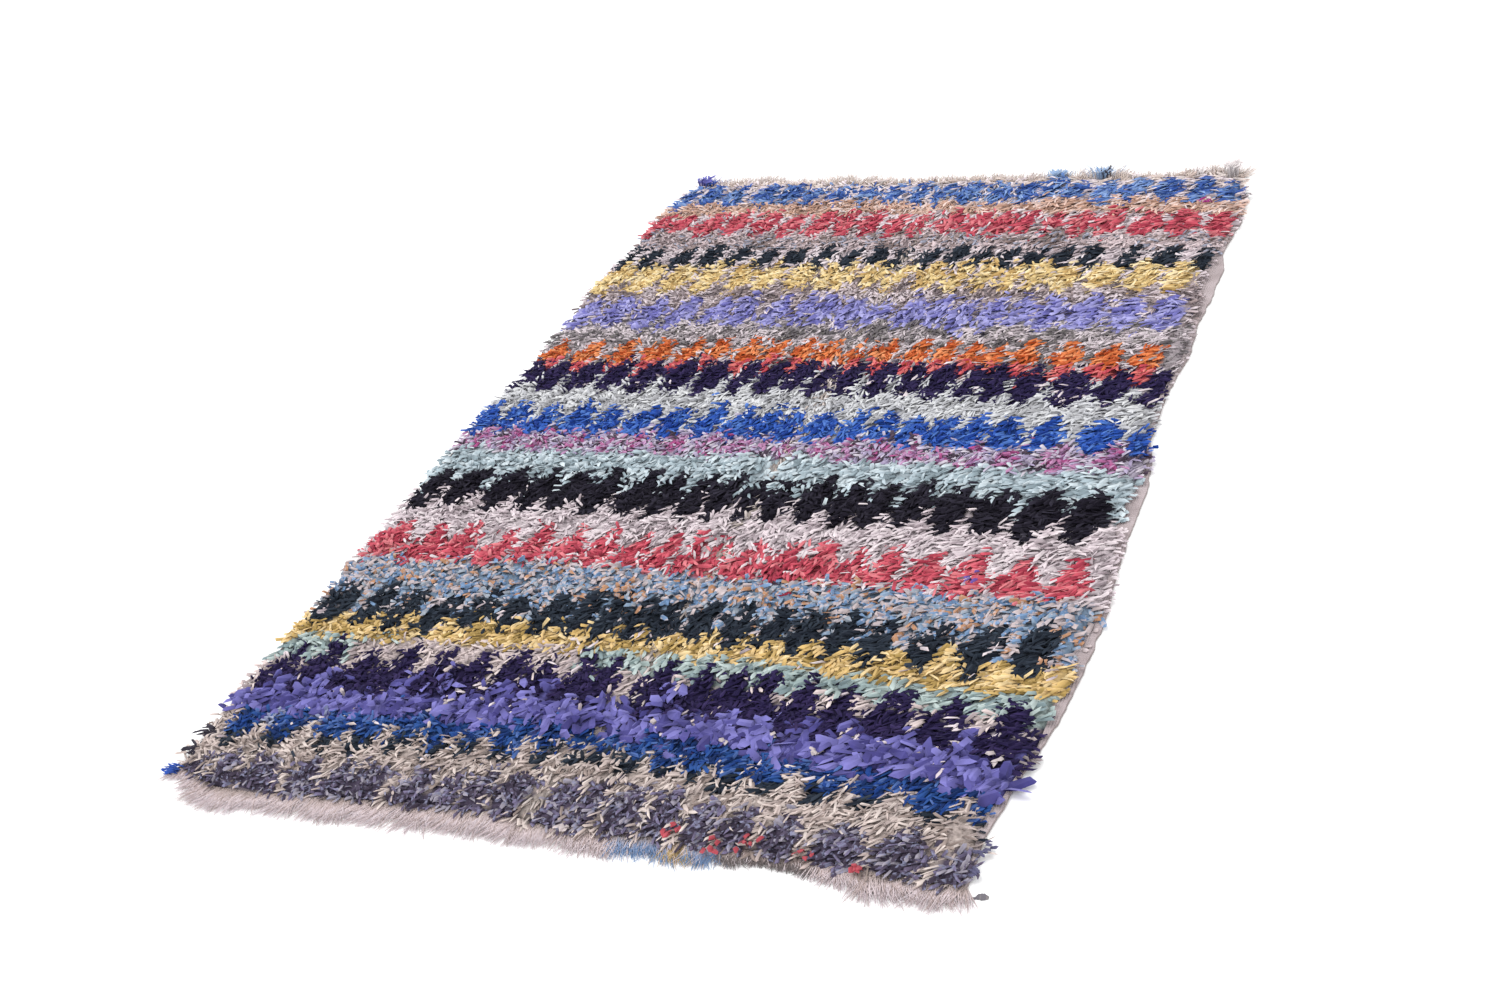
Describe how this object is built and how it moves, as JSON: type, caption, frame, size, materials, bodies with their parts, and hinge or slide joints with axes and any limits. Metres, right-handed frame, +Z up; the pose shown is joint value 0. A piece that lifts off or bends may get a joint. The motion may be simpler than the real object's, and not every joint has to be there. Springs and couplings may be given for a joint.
{
  "type": "boucherouite rug",
  "caption": "Hand-knotted rag-pile rug with stepped bands of colour, a bare selvedge and cut warp fringe at both ends, lying flat.",
  "frame": {"origin": "middle of the rug's outline, on the floor that it lies on", "axes": "+X across the rug towards its bare selvedge, +Y lengthwise towards its far end, +Z up from the floor"},
  "size_m": [1.6076, 2.5557, 0.0329],
  "materials": {
    "rag_pile": "torn cotton rags knotted in a deep uneven pile",
    "warp_yarn": "soft cut cotton and wool warp ends"
  },
  "bodies": {
    "root": {"rug": "rag_pile", "near_fringe": "warp_yarn", "far_fringe": "warp_yarn"}
  },
  "joints": []
}
